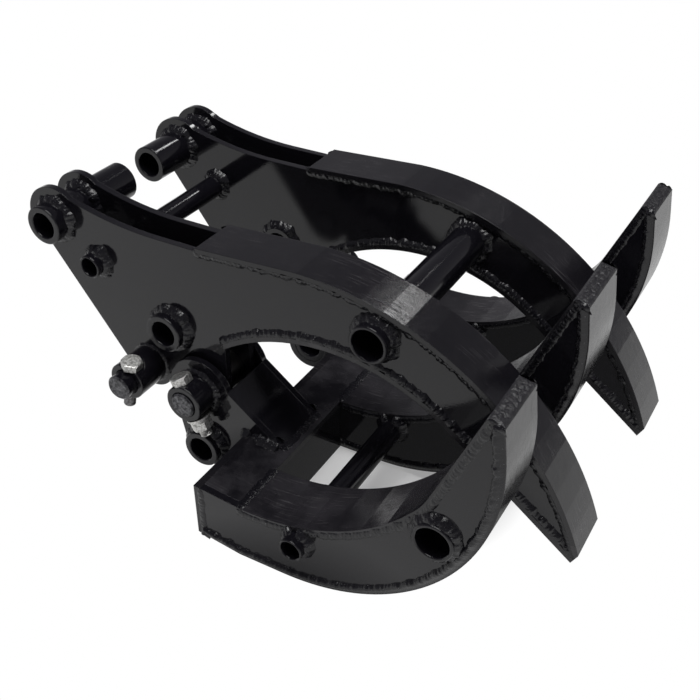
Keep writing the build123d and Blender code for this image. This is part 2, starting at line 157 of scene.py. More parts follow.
# The air round it: grey, paler towards the horizon, and plain white to the eye.
world = bpy.data.worlds.new("studio_air")
scene.world = world
world.use_nodes = True
tree = world.node_tree
tree.nodes.clear()
heading = add(tree, "ShaderNodeSeparateXYZ", {0: add(tree, "ShaderNodeTexCoord").outputs["Generated"]})
height = add(tree, "ShaderNodeMapRange", {"Value": heading.outputs["Z"], "From Min": 0.1, "From Max": 0.7})
haze = add(tree, "ShaderNodeMix", {
    "Factor": height.outputs[0], "A": linear("8d8c90"), "B": linear("5a595e"),
}, data_type="RGBA")
path = add(tree, "ShaderNodeLightPath")
air = add(tree, "ShaderNodeBackground", {"Color": haze.outputs["Result"], "Strength": 1.0})
white = add(tree, "ShaderNodeBackground", {"Color": linear("ffffff"), "Strength": 1.0})
mix = add(tree, "ShaderNodeMixShader", {
    0: path.outputs["Is Camera Ray"], 1: air.outputs[0], 2: white.outputs[0],
})
add(tree, "ShaderNodeOutputWorld", {"Surface": mix.outputs[0]})

middle = at(110, 0, 150)
for lamp_name, direction, distance, size, watts in (
    ("soft_top", (0.05, -0.1, 1.0), 2.4, 1.5, 44),
    ("small_back", (0.045, 0.713, 0.70), 5.0, 0.42, 7.2),
):
    lamp = bpy.data.lights.new(lamp_name, "AREA")
    lamp.shape = "SQUARE"
    lamp.size = size
    lamp.energy = watts
    holder = bpy.data.objects.new(lamp_name, lamp)
    toward = Vector(direction).normalized()
    facing = toward.to_track_quat("Z", "Y").to_matrix().to_4x4()
    holder.matrix_world = Matrix.Translation(middle + toward * distance) @ facing
    scene.collection.objects.link(holder)


# Side plates: flame-cut mild steel, 8 mm thick, sprayed with gloss black enamel. The
# film is smooth enough to mirror the white floor, with faint orange peel and dust.
def new_finish(name, links=None):
    """A material with a shader that is ready for its patterns."""
    material = bpy.data.materials.new(name)
    material.use_nodes = True
    material.node_tree.nodes.clear()
    shader = add(material.node_tree, "ShaderNodeBsdfPrincipled", links)
    add(material.node_tree, "ShaderNodeOutputMaterial", {"Surface": shader.outputs[0]})
    return material, material.node_tree, shader


def link(tree, output, node, name):
    """Joins one output to a named input."""
    tree.links.new(output, node.inputs[name])


PAINT_BLACK = "131217"
ENAMEL_IOR = 1.5
PEEL_MM = 1.6
GRIT_MM = 2.0
DUST_MM = 3.8
CLOUD_MM = 45
WEAR_MM = 1.2
WEAR_SAMPLES = 4

plate_paint, tree, shader = new_finish("gloss_enamel_on_plate", {"IOR": ENAMEL_IOR})
coords = add(tree, "ShaderNodeTexCoord").outputs["Object"]
peel = add(tree, "ShaderNodeTexNoise", {"Vector": coords, "Scale": per(PEEL_MM), "Detail": 1.0})
cloud = add(tree, "ShaderNodeTexNoise", {"Vector": coords, "Scale": per(CLOUD_MM), "Detail": 4.0})
grit = add(tree, "ShaderNodeTexNoise", {"Vector": coords, "Scale": per(GRIT_MM), "Detail": 2.0})
dust = add(tree, "ShaderNodeTexVoronoi", {"Vector": coords, "Scale": per(DUST_MM)}, feature="F1")
speck = add(tree, "ShaderNodeMapRange", {
    "Value": dust.outputs["Distance"], "From Min": 0.05, "From Max": 0.12, "To Min": 1.0, "To Max": 0.0,
})
patch = add(tree, "ShaderNodeMapRange", {
    "Value": cloud.outputs["Fac"], "From Min": 0.5, "From Max": 0.75, "To Max": 0.6,
})
dusty = add(tree, "ShaderNodeMath", {0: speck.outputs[0], 1: patch.outputs[0]}, operation="MULTIPLY")
grainy = add(tree, "ShaderNodeMapRange", {"Value": grit.outputs["Fac"], "From Min": 0.35, "From Max": 0.7})
film = add(tree, "ShaderNodeMix", {
    "Factor": grainy.outputs[0], "A": linear(PAINT_BLACK), "B": linear("1b1a1e"),
}, data_type="RGBA")
tone = add(tree, "ShaderNodeMix", {
    "Factor": dusty.outputs[0], "A": film.outputs["Result"], "B": linear("4a4a4c"),
}, data_type="RGBA")
gloss = add(tree, "ShaderNodeMapRange", {
    "Value": cloud.outputs["Fac"], "From Min": 0.3, "From Max": 0.8, "To Min": 0.05, "To Max": 0.11,
})
edge = add(tree, "ShaderNodeBevel", {"Radius": WEAR_MM / 1000}, samples=WEAR_SAMPLES)
bump = add(tree, "ShaderNodeBump", {
    "Height": peel.outputs["Fac"], "Strength": 0.03, "Distance": 0.001, "Normal": edge.outputs[0],
})
link(tree, tone.outputs["Result"], shader, "Base Color")
link(tree, gloss.outputs[0], shader, "Roughness")
link(tree, bump.outputs[0], shader, "Normal")

for node in frame["nodes"].values():
    node.data.materials.clear()
    node.data.materials.append(plate_paint)


def finish_nodes(material, *words):
    """Gives a finish to each CAD piece whose name has one of the words."""
    for name, node in frame["nodes"].items():
        if any(word in name for word in words):
            node.data.materials.clear()
            node.data.materials.append(material)


# Covers, shoes and beam: 6 and 8 mm plate that was bent in a press, one strike after
# the other, so its curves are a row of flats. The same enamel, with scuffs and scratches
# from handling, which show best where a flat mirrors something pale.
SCUFF_MM = 9
SCRATCH_MM = 1.3
SCRATCH_LONG_MM = 38
STAIN_MM = 110
SCRATCH_TURNS = ((0.5, 0.0), (-0.35, 3.7), (1.25, 8.1))
FLAT_SHARE = 0.78
OUTER_SIDE = 0.97


def bent_plate_enamel(name, worn_and_painted_light_film, bends=None):
    """Scuffed enamel for bent plate, with a row of pressed flats where bends are given."""
    material, tree, shader = new_finish(name, {"IOR": ENAMEL_IOR})
    coords = add(tree, "ShaderNodeTexCoord").outputs["Object"]
    cloud = add(tree, "ShaderNodeTexNoise", {
        "Vector": coords, "Scale": per(STAIN_MM), "Detail": 6.0, "Roughness": 0.62,
    })
    scuff = add(tree, "ShaderNodeTexNoise", {
        "Vector": coords, "Scale": per(SCUFF_MM), "Detail": 6.0, "Roughness": 0.7,
    })
    worn = add(tree, "ShaderNodeMapRange", {"Value": cloud.outputs["Fac"], "From Min": 0.4, "From Max": 0.7})
    marks = None
    for turn, shift in SCRATCH_TURNS:
        slant = add(tree, "ShaderNodeMapping", {
            "Vector": coords, "Location": (shift, shift, shift), "Rotation": (0, 0, turn),
            "Scale": (per(SCRATCH_LONG_MM), per(SCRATCH_MM), per(SCRATCH_LONG_MM)),
        })
        streak = add(tree, "ShaderNodeTexNoise", {"Vector": slant.outputs[0], "Scale": 1.0, "Detail": 1.0})
        scratch = add(tree, "ShaderNodeMapRange", {
            "Value": streak.outputs["Fac"], "From Min": 0.665, "From Max": 0.71,
        })
        if marks is not None:
            scratch = add(tree, "ShaderNodeMath", {
                0: marks.outputs[0], 1: scratch.outputs[0],
            }, operation="MAXIMUM")
        marks = scratch
    where = add(tree, "ShaderNodeMapRange", {
        "Value": cloud.outputs["Fac"], "From Min": 0.45, "From Max": 0.62, "To Max": 0.7,
    })
    shown = add(tree, "ShaderNodeMath", {0: marks.outputs[0], 1: where.outputs[0]}, operation="MULTIPLY")
    # The worn patches take each copy's own film tone. The lighter and darker copies carry painted light and
    # shade.
    film = add(tree, "ShaderNodeMix", {
        "Factor": worn.outputs[0], "A": linear("151418"), "B": linear(worn_and_painted_light_film),
    }, data_type="RGBA")
    tone = add(tree, "ShaderNodeMix", {
        "Factor": shown.outputs[0], "A": film.outputs["Result"], "B": linear("4c4a4c"),
    }, data_type="RGBA")
    gloss = add(tree, "ShaderNodeMapRange", {
        "Value": scuff.outputs["Fac"], "From Min": 0.3, "From Max": 0.75, "To Min": 0.12, "To Max": 0.26,
    })
    surface = add(tree, "ShaderNodeBevel", {"Radius": WEAR_MM / 1000}, samples=WEAR_SAMPLES)
    if bends:
        surface = pressed_flats(tree, coords, surface, *bends)
    wave = add(tree, "ShaderNodeBump", {
        "Height": cloud.outputs["Fac"], "Strength": 0.06, "Distance": 0.004, "Normal": surface.outputs[0],
    })
    bump = add(tree, "ShaderNodeBump", {
        "Height": scuff.outputs["Fac"], "Strength": 0.15, "Distance": 0.001, "Normal": wave.outputs[0],
    })
    cut = add(tree, "ShaderNodeBump", {
        "Height": shown.outputs[0], "Strength": 0.4, "Distance": 0.0004, "Normal": bump.outputs[0],
    }, invert=True)
    link(tree, tone.outputs["Result"], shader, "Base Color")
    link(tree, gloss.outputs[0], shader, "Roughness")
    link(tree, cut.outputs[0], shader, "Normal")
    return material


def pressed_flats(tree, coords, surface, centre, side, strike, lowest, highest):
    """Turns the normal of an arc's outer side to that of the flat that each strike left."""
    out = add(tree, "ShaderNodeVectorMath", {0: coords, 1: centre}, operation="SUBTRACT")
    reach = add(tree, "ShaderNodeSeparateXYZ", {0: out.outputs[0]})
    rise = add(tree, "ShaderNodeMath", {0: reach.outputs["Z"], 1: side}, operation="MULTIPLY")
    angle = add(tree, "ShaderNodeMath", {0: reach.outputs["X"], 1: rise.outputs[0]}, operation="ARCTAN2")
    count = add(tree, "ShaderNodeMath", {0: angle.outputs[0], 1: strike}, operation="DIVIDE")
    number = add(tree, "ShaderNodeMath", {0: count.outputs[0]}, operation="FLOOR")
    hand = add(tree, "ShaderNodeTexWhiteNoise", {"W": number.outputs[0]}, noise_dimensions="1D")
    uneven = add(tree, "ShaderNodeMapRange", {"Value": hand.outputs["Value"], "To Min": 0.35, "To Max": 0.65})
    centred = add(tree, "ShaderNodeMath", {0: number.outputs[0], 1: uneven.outputs[0]}, operation="ADD")
    turn = add(tree, "ShaderNodeMath", {0: centred.outputs[0], 1: strike}, operation="MULTIPLY")
    held = add(tree, "ShaderNodeClamp", {"Value": turn.outputs[0], "Min": lowest, "Max": highest})
    across = add(tree, "ShaderNodeMath", {0: held.outputs[0]}, operation="SINE")
    leaning = add(tree, "ShaderNodeMath", {0: across.outputs[0], 1: side}, operation="MULTIPLY")
    upright = add(tree, "ShaderNodeMath", {0: held.outputs[0]}, operation="COSINE")
    flat = add(tree, "ShaderNodeCombineXYZ", {"X": leaning.outputs[0], "Z": upright.outputs[0]})
    turned = add(tree, "ShaderNodeVectorTransform", {
        "Vector": flat.outputs[0],
    }, vector_type="NORMAL", convert_from="OBJECT", convert_to="WORLD")
    match = add(tree, "ShaderNodeVectorMath", {
        0: turned.outputs[0], 1: surface.outputs[0],
    }, operation="DOT_PRODUCT")
    outer = add(tree, "ShaderNodeMath", {0: match.outputs["Value"], 1: OUTER_SIDE}, operation="GREATER_THAN")
    partly = add(tree, "ShaderNodeMath", {0: outer.outputs[0], 1: FLAT_SHARE}, operation="MULTIPLY")
    blend = add(tree, "ShaderNodeMix", {
        "Factor": partly.outputs[0], "A": surface.outputs[0], "B": turned.outputs[0],
    }, data_type="VECTOR")
    return add(tree, "ShaderNodeVectorMath", {0: blend.outputs["Result"]}, operation="NORMALIZE")


ARM_BACK_CENTRE = at(128.66, 0, -36.67)
ARM_STRIKE = radians(4.2)
ARM_FLAT = radians(-3.04)
ARM_END = radians(71.5)
TINE_ARC_CENTRE = at(129.1, 0, 308.5)
TINE_STRIKE = radians(8.4)
TINE_END = radians(50.4)

# The beam top and tine throats get a lighter worn film and the arm backs a darker one. These are lit and
# shaded copies of one scuffed enamel, painted light and shade.
finish_nodes(bent_plate_enamel("scuffed_enamel_on_plate", "29272a"), "_cover", "_shoe", "beam_back_plate")
finish_nodes(bent_plate_enamel("scuffed_enamel_on_beam_top_painted_lighter", "454347"), "beam_top_plate")
arm_bends = (ARM_BACK_CENTRE, 1.0, ARM_STRIKE, ARM_FLAT, ARM_END)
finish_nodes(bent_plate_enamel("scuffed_enamel_on_arm_back_painted_darker", "1d1b1f", arm_bends), "_arm_top_cover")
tine_bends = (TINE_ARC_CENTRE, -1.0, TINE_STRIKE, 0.0, TINE_END)
finish_nodes(bent_plate_enamel("scuffed_enamel_on_tine_throat_painted_lighter", "363438", tine_bends), "_tine_top_cover")


# Hinge ears: flame-cut plates in pairs, with an arm between each two. The front edge of
# each slopes from its hinge lobe right down to the front of the beam's top and is welded
# there, where the plain solids stop at the beam's back.
SIDES = (("near", -1), ("far", 1))
EAR_NOSE, EAR_FOOT = (73.9, 94.7), (105.7, 70.04)
EAR_ROOT_TOP, EAR_HEEL = (61.0, 76.0), (61.0, 75.05)
SAME_CORNER = 0.0005
MERGE = 1e-6


def finish_piece(bm, name, material, body, smooth=False):
    """Makes a finished piece that rides on a body, from its mesh."""
    mesh = bpy.data.meshes.new(name)
    bm.to_mesh(mesh)
    bm.free()
    mesh.materials.append(material)
    if smooth:
        mesh.shade_smooth()
    piece = bpy.data.objects.new(name, mesh)
    scene.collection.objects.link(piece)
    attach(piece, body)
    return piece


ears = {}
for side, _ in SIDES:
    for which in ("outer", "inner"):
        node = f"{side}_ear_{which}_plate"
        bm = bmesh.new()
        bm.from_mesh(frame["nodes"][node].data)
        bmesh.ops.remove_doubles(bm, verts=bm.verts, dist=MERGE)
        for vert in bm.verts:
            for old, new in ((EAR_NOSE, EAR_FOOT), (EAR_ROOT_TOP, EAR_HEEL)):
                if (vert.co - at(old[0], vert.co.y * 1000, old[1])).length < SAME_CORNER:
                    vert.co = at(new[0], vert.co.y * 1000, new[1])
                    break
        ears[node] = finish_piece(bm, f"{side}_ear_{which}_side", plate_paint, "lower_jaw")
        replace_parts(ears[node], node)

# Ear webs: a strip of 8 mm plate closes the slope between each pair of ears, from just
# under the arm's hinge end down to the beam's top, flush with the ears' front edges.
WEB_TOP_X = 38.5
WEB_THICK = 8.0
WEB_GAP = 0.05
WEB_EDGE = 0.0006
WEB_EDGE_STEPS = 2
ENDWAYS = 0.01


def face_y(node, out):
    """Where a plate's flat side lies that looks towards out, -1 for near and 1 for far."""
    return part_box(node)[out > 0].y


foot = Vector((EAR_FOOT[0], 0, EAR_FOOT[1]))
heel = Vector((EAR_HEEL[0], 0, EAR_HEEL[1]))
down = Vector((EAR_FOOT[0] - EAR_NOSE[0], 0, EAR_FOOT[1] - EAR_NOSE[1])).normalized()
under = Vector((down.z, 0, -down.x))
beam_line = (foot - heel).normalized()
head = foot - down * ((EAR_FOOT[0] - WEB_TOP_X) / down.x)
toe = foot - beam_line * (WEB_THICK / beam_line.cross(down).length)
for side, out in SIDES:
    outer = face_y(f"{side}_ear_outer_plate", -out) * 1000 - out * WEB_GAP
    inner = face_y(f"{side}_ear_inner_plate", out) * 1000 + out * WEB_GAP
    bm = bmesh.new()
    corners = [bm.verts.new(at(p.x, outer, p.z)) for p in (head, foot, toe, head + under * WEB_THICK)]
    made = bmesh.ops.extrude_face_region(bm, geom=[bm.faces.new(corners)])["geom"]
    across = Vector((0, (inner - outer) / 1000, 0))
    bmesh.ops.translate(bm, vec=across, verts=[v for v in made if isinstance(v, bmesh.types.BMVert)])
    bmesh.ops.recalc_face_normals(bm, faces=bm.faces)
    bmesh.ops.bevel(
        bm, geom=[e for e in bm.edges if abs(e.verts[0].co.y - e.verts[1].co.y) > ENDWAYS],
        offset=WEB_EDGE, offset_type="OFFSET", segments=WEB_EDGE_STEPS, profile=0.5,
        affect="EDGES", material=-1,
    )
    finish_piece(bm, f"{side}_ear_web", plate_paint, "lower_jaw")


# Tubes and bosses: drawn steel tube, sprayed after welding. The enamel ran and dried in
# streaks along the tube, and stray spatter from the welds sticks up through it.
RUN_MM = 2.4
RUN_LONG_MM = 38
SPATTER_MM = 5.3

tube_paint, tree, shader = new_finish("gloss_enamel_on_tube", {"IOR": ENAMEL_IOR})
coords = add(tree, "ShaderNodeTexCoord").outputs["Object"]
along = add(tree, "ShaderNodeMapping", {
    "Vector": coords, "Scale": (per(RUN_MM), per(RUN_LONG_MM), per(RUN_MM)),
})
streak = add(tree, "ShaderNodeTexNoise", {"Vector": along.outputs[0], "Scale": 1.0, "Detail": 3.0})
spatter = add(tree, "ShaderNodeTexVoronoi", {"Vector": coords, "Scale": per(SPATTER_MM)}, feature="F1")
drop = add(tree, "ShaderNodeMapRange", {
    "Value": spatter.outputs["Distance"], "From Min": 0.0, "From Max": 0.16, "To Min": 1.0, "To Max": 0.0,
})
tone = add(tree, "ShaderNodeMix", {
    "Factor": drop.outputs[0], "A": linear(PAINT_BLACK), "B": linear("2a292d"),
}, data_type="RGBA")
gloss = add(tree, "ShaderNodeMapRange", {
    "Value": streak.outputs["Fac"], "From Min": 0.35, "From Max": 0.7, "To Min": 0.07, "To Max": 0.17,
})
edge = add(tree, "ShaderNodeBevel", {"Radius": WEAR_MM / 1000}, samples=WEAR_SAMPLES)
runs = add(tree, "ShaderNodeBump", {
    "Height": streak.outputs["Fac"], "Strength": 0.08, "Distance": 0.001, "Normal": edge.outputs[0],
})
bump = add(tree, "ShaderNodeBump", {
    "Height": drop.outputs[0], "Strength": 0.25, "Distance": 0.001, "Normal": runs.outputs[0],
})
link(tree, tone.outputs["Result"], shader, "Base Color")
link(tree, gloss.outputs[0], shader, "Roughness")
link(tree, bump.outputs[0], shader, "Normal")
finish_nodes(tube_paint, "_tube", "_boss")


# Hinge bushes: turned steel sleeves that carry the upper jaw on its pins, bare and oiled,
# with fine lathe rings round their axis.
LATHE_MM = 0.5
OIL_MM = 50 / 3

bush_steel, tree, shader = new_finish("turned_steel_bush", {"Metallic": 1.0, "Base Color": linear("5c5a58")})
coords = add(tree, "ShaderNodeTexCoord").outputs["Object"]
centred = add(tree, "ShaderNodeMapping", {"Vector": coords, "Location": (-hinge.x, 0, -hinge.z)})
rings = add(tree, "ShaderNodeTexWave", {
    "Vector": centred.outputs[0], "Scale": per(LATHE_MM) / tau, "Distortion": 0.4,
}, wave_type="BANDS", bands_direction="Y")
oil = add(tree, "ShaderNodeTexNoise", {"Vector": coords, "Scale": per(OIL_MM), "Detail": 3.0})
gloss = add(tree, "ShaderNodeMapRange", {"Value": oil.outputs["Fac"], "To Min": 0.25, "To Max": 0.5})
bump = add(tree, "ShaderNodeBump", {"Height": rings.outputs["Fac"], "Strength": 0.15, "Distance": 0.0003})
link(tree, gloss.outputs[0], shader, "Roughness")
link(tree, bump.outputs[0], shader, "Normal")
finish_nodes(bush_steel, "hinge_bush")


# Pins: round bar, 30 mm, sawn off and held by a cross bolt. The sides are enamelled with
# the rest, and the sawn ends are coarse, so the thin paint on them is mottled grey.
GRAIN_MM = 4.0
SAW_MM = 2.6

bar_end, tree, shader = new_finish("sawn_bar_end", {"IOR": ENAMEL_IOR})
coords = add(tree, "ShaderNodeTexCoord").outputs["Object"]
facing = add(tree, "ShaderNodeSeparateXYZ", {0: add(tree, "ShaderNodeNewGeometry").outputs["Normal"]})
sideways = add(tree, "ShaderNodeMath", {0: facing.outputs["Y"]}, operation="ABSOLUTE")
sawn = add(tree, "ShaderNodeMapRange", {"Value": sideways.outputs[0], "From Min": 0.55, "From Max": 0.8})
grain = add(tree, "ShaderNodeTexNoise", {
    "Vector": coords, "Scale": per(GRAIN_MM), "Detail": 5.0, "Roughness": 0.75,
})
teeth = add(tree, "ShaderNodeTexWave", {
    "Vector": coords, "Scale": per(SAW_MM) / tau, "Distortion": 6.0, "Detail": 2.0,
}, wave_type="BANDS", bands_direction="DIAGONAL")
coarse = add(tree, "ShaderNodeMath", {0: grain.outputs["Fac"], 1: teeth.outputs["Fac"]}, operation="MULTIPLY")
bare = add(tree, "ShaderNodeMapRange", {"Value": grain.outputs["Fac"], "From Min": 0.4, "From Max": 0.64})
cut_tone = add(tree, "ShaderNodeMix", {
    "Factor": bare.outputs[0], "A": linear("1c1c1f"), "B": linear("7c7c7f"),
}, data_type="RGBA")
tone = add(tree, "ShaderNodeMix", {
    "Factor": sawn.outputs[0], "A": linear(PAINT_BLACK), "B": cut_tone.outputs["Result"],
}, data_type="RGBA")
gloss = add(tree, "ShaderNodeMapRange", {"Value": sawn.outputs[0], "To Min": 0.12, "To Max": 0.42})
metal = add(tree, "ShaderNodeMath", {0: sawn.outputs[0], 1: 0.5}, operation="MULTIPLY")
rough = add(tree, "ShaderNodeMath", {0: coarse.outputs[0], 1: sawn.outputs[0]}, operation="MULTIPLY")
bump = add(tree, "ShaderNodeBump", {"Height": rough.outputs[0], "Strength": 0.5, "Distance": 0.001})
link(tree, tone.outputs["Result"], shader, "Base Color")
link(tree, metal.outputs[0], shader, "Metallic")
link(tree, gloss.outputs[0], shader, "Roughness")
link(tree, bump.outputs[0], shader, "Normal")
finish_nodes(bar_end, "_pin")


# Welds: stick weld in lumpy overlapping ripples, laid by hand wherever a plate meets a
# tube or another plate, and painted over. Each bead follows its plate's own edge: a
# fillet up a wall, a flat bead on a flush seam, and a round one along the shoes.
RIPPLE = 0.0046
LUMP = 0.0095
LUMPINESS, WANDER = 0.45, 0.18
BEAD_STEP = 0.0009
BEAD_ACROSS = 8
FEWEST_STEPS = 6
STRAY_STEPS = 8
TAPER_STEPS, TAPER_START = 5, 0.35
SUNK = 0.0002
FILLET_LEG = 0.0072
FILLET_LAP = 0.0003
FILLET_CROWN = 0.0016
SEAM_WIDTH = 0.0088
SEAM_CENTRE = 0.47
SEAM_HEIGHT = 0.0017
FLUSH_WIDTH = 0.013
FLUSH_HEIGHT = 0.0011
SHOE_THICK = 0.0078
SHOE_LAP = 0.0044
SHOE_BULGE = 0.0041
TOUCH = 0.0006
LOOK_IN = 0.002
FACES_EDGE = 0.6
STANDS_UP = 0.0015
FLAT_SIDE = 0.99
IN_PLANE = 1e-5
SLAG_MM = 2.0
SPOT_MM = 3.0

weld_paint, tree, shader = new_finish("gloss_enamel_on_weld", {"IOR": ENAMEL_IOR})
coords = add(tree, "ShaderNodeTexCoord").outputs["Object"]
slag = add(tree, "ShaderNodeTexNoise", {"Vector": coords, "Scale": per(SLAG_MM), "Detail": 3.0})
spots = add(tree, "ShaderNodeTexVoronoi", {"Vector": coords, "Scale": per(SPOT_MM)}, feature="F1")
# The pale grey specks on the beads are painted glints, standing in for small highlights.
painted_glint_spots = add(tree, "ShaderNodeMapRange", {
    "Value": spots.outputs["Distance"], "From Min": 0.08, "From Max": 0.2, "To Min": 1.0, "To Max": 0.0,
})
pick = add(tree, "ShaderNodeMapRange", {"Value": slag.outputs["Fac"], "From Min": 0.56, "From Max": 0.64})
pale_flecks = add(tree, "ShaderNodeMath", {0: painted_glint_spots.outputs[0], 1: pick.outputs[0]}, operation="MULTIPLY")
tone = add(tree, "ShaderNodeMix", {
    "Factor": pale_flecks.outputs[0], "A": linear(PAINT_BLACK), "B": linear("8a8a8c"),
}, data_type="RGBA")
gloss = add(tree, "ShaderNodeMapRange", {
    "Value": slag.outputs["Fac"], "From Min": 0.3, "From Max": 0.7, "To Min": 0.1, "To Max": 0.32,
})
bump = add(tree, "ShaderNodeBump", {"Height": slag.outputs["Fac"], "Strength": 0.4, "Distance": 0.0009})
link(tree, tone.outputs["Result"], shader, "Base Color")
link(tree, gloss.outputs[0], shader, "Roughness")
link(tree, bump.outputs[0], shader, "Normal")


def plate_edges(plate, level, out):
    """The closed edges of a plate's flat side, each with the plate on its left."""
    bm = bmesh.new()
    bm.from_mesh(plate.data)
    bmesh.ops.remove_doubles(bm, verts=bm.verts, dist=MERGE)
    flat = [
        f for f in bm.faces
        if f.normal.y * out > FLAT_SIDE and abs(f.calc_center_median().y * out - level) < IN_PLANE
    ]
    inside = set(flat)
    after = {}
    for face in flat:
        for corner in face.loops:
            if not any(other in inside for other in corner.edge.link_faces if other != face):
                after[corner.vert] = corner.link_loop_next.vert
    rings = []
    while after:
        vert = next(iter(after))
        ring = []
        while vert in after:
            ring.append(vert.co.copy())
            vert = after.pop(vert)
        rings.append(ring)
    bm.free()
    return rings


def even(points, closed):
    """The same line with its points one bead step apart."""
    ends = points + [points[0]] if closed else points
    lengths = [0.0]
    for start, end in zip(ends, ends[1:]):
        lengths.append(lengths[-1] + (end - start).length)
    count = max(FEWEST_STEPS, round(lengths[-1] / BEAD_STEP))
    spaced, k = [], 0
    for i in range(count if closed else count + 1):
        target = lengths[-1] * i / count
        while lengths[k + 1] < target and k < len(ends) - 2:
            k += 1
        span = max(1e-9, lengths[k + 1] - lengths[k])
        spaced.append(ends[k].lerp(ends[k + 1], (target - lengths[k]) / span))
    return spaced


def bead_profile(kind, across, size, ripple):
    """How far a bead's skin lies inwards from the plate's edge, and above its face."""
    bulge = sin(pi * across)
    if kind == "seam":
        side = SEAM_WIDTH * size * (across - SEAM_CENTRE)
        return side, -SUNK + bulge**0.6 * SEAM_HEIGHT * size * (0.7 + 0.4 * ripple)
    if kind == "shoe":
        side = -SHOE_THICK + (SHOE_THICK + SHOE_LAP * size) * across
        round_up = sin(pi * across**1.7)
        return side, -SUNK + round_up * SHOE_BULGE * size * (0.95 + 0.08 * ripple)
    if kind == "flush":
        return FLUSH_WIDTH * size * (across - 0.5), -SUNK + bulge * FLUSH_HEIGHT * (0.8 + 0.3 * ripple)
    reach = min(kind, FILLET_LEG) * size
    side = -FILLET_LAP + (FILLET_LEG * size + FILLET_LAP) * across
    crown = bulge * FILLET_CROWN * size * (0.5 + 0.6 * ripple)
    return side, (reach + SUNK) * (1 - across) - SUNK + crown


def lay_bead(bm, points, inward, out, kind, closed, seed, girth=1.0):
    """Lays one bead along points; its kind is seam, shoe, flush or the height of a wall."""
    count = len(points)
    rows = count if closed else count - 1
    made = bmesh.ops.create_grid(bm, x_segments=rows, y_segments=BEAD_ACROSS, size=1)["verts"]
    for vert in made:
        step = round((vert.co.x + 1) / 2 * rows)
        across = (vert.co.y + 1) / 2
        k = step % count
        run = k * BEAD_STEP
        turn = tau * k / count
        loop = Vector((cos(turn), sin(turn), 0)) * count * BEAD_STEP / tau
        course = loop if closed else Vector((run, 0, 0))
        lump = noise.noise(course / LUMP + Vector((seed, 0, 3)))
        wander = noise.noise(course / (LUMP / 3) + Vector((seed, 5, across)))
        shift = noise.noise(course / (2 * RIPPLE) + Vector((seed, 0, 7)))
        phase = run / RIPPLE + 0.55 * (2 * across - 1) ** 2 + 1.2 * shift
        ripple = 1 - phase % 1
        fade = 1.0
        if not closed:
            fade = min(1.0, TAPER_START + step / TAPER_STEPS, TAPER_START + (rows - step) / TAPER_STEPS)
        size = girth * fade * (1 + LUMPINESS * lump + WANDER * wander)
        side, rise = bead_profile(kind, across, size, ripple)
        vert.co = points[k] + inward[k] * side + out * rise
    bm.normal_update()
    faces = list(dict.fromkeys(f for v in made for f in v.link_faces))
    if sum(f.normal.dot(out) for f in faces) < 0:
        bmesh.ops.reverse_faces(bm, faces=faces)
    if closed:
        bmesh.ops.remove_doubles(bm, verts=made, dist=MERGE)


def surface(node):
    """A search tree over a CAD piece's surface."""
    mesh = frame["nodes"][node].data
    return BVHTree.FromPolygons([v.co for v in mesh.vertices], [p.vertices for p in mesh.polygons])


def weld_plate(bm, node, out, partners):
    """Lays beads round one flat side of a plate, wherever its edge meets a partner."""
    low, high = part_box(node)
    level = face_y(node, out) * out
    normal = Vector((0, out, 0))
    neighbours = []
    for partner in partners:
        stands = max(corner.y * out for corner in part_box(partner)) - level
        kind = "shoe" if "shoe" in partner else stands if stands > STANDS_UP else "seam"
        neighbours.append((surface(partner), kind))
    for number, ring in enumerate(plate_edges(ears.get(node, frame["nodes"][node]), level, out)):
        points = even(ring, True)
        count = len(points)
        tangents = [(points[(i + 2) % count] - points[i - 2]).normalized() for i in range(count)]
        inward = [normal.cross(t) for t in tangents]
        kinds = []
        for point, inner in zip(points, inward):
            found = None
            for search, kind in neighbours:
                _, facing, _, distance = search.find_nearest(point - normal * LOOK_IN)
                if distance < TOUCH and facing.dot(inner) > FACES_EDGE:
                    found = kind
            kinds.append(found)
        seed = 13.7 * number + 101 * low.y + 37 * high.x
        if None not in kinds and len(set(kinds)) == 1:
            lay_bead(bm, points, inward, normal, kinds[0], True, seed)
            continue
        first = next((i for i in range(count) if kinds[i] != kinds[i - 1]), 0)
        start = 0
        while start < count:
            kind = kinds[(first + start) % count]
            end = start
            while end < count and kinds[(first + end) % count] == kind:
                end += 1
            run = [(first + i) % count for i in range(start, end)]
            if kind is not None and len(run) > STRAY_STEPS:
                spine, sides = [points[i] for i in run], [inward[i] for i in run]
                lay_bead(bm, spine, sides, normal, kind, False, seed + start)
            start = end


BOSS_R = 0.0225
RING_RISE = 0.0045
SPOKE_TURN = 5
CORNER_RING, HINGE_RING = 0.5, 0.9
CORNER_SEED, HINGE_SEED = 31, 57
CORNER, HINGE = (-78.0, 116.0), (0.0, 112.0)


def ring_bead(bm, plate, centre, out, seed, girth):
    """Lays a fillet round a boss that stands on a plate's outer side."""
    middle = at(centre[0], face_y(plate, out) * 1000, centre[1])
    turns = [radians(turn) for turn in range(0, 360, SPOKE_TURN)]
    points = even([middle + Vector((cos(turn), 0, sin(turn))) * BOSS_R for turn in turns], True)
    away = [(point - middle).normalized() for point in points]
    lay_bead(bm, points, away, Vector((0, out, 0)), RING_RISE, True, seed, girth)


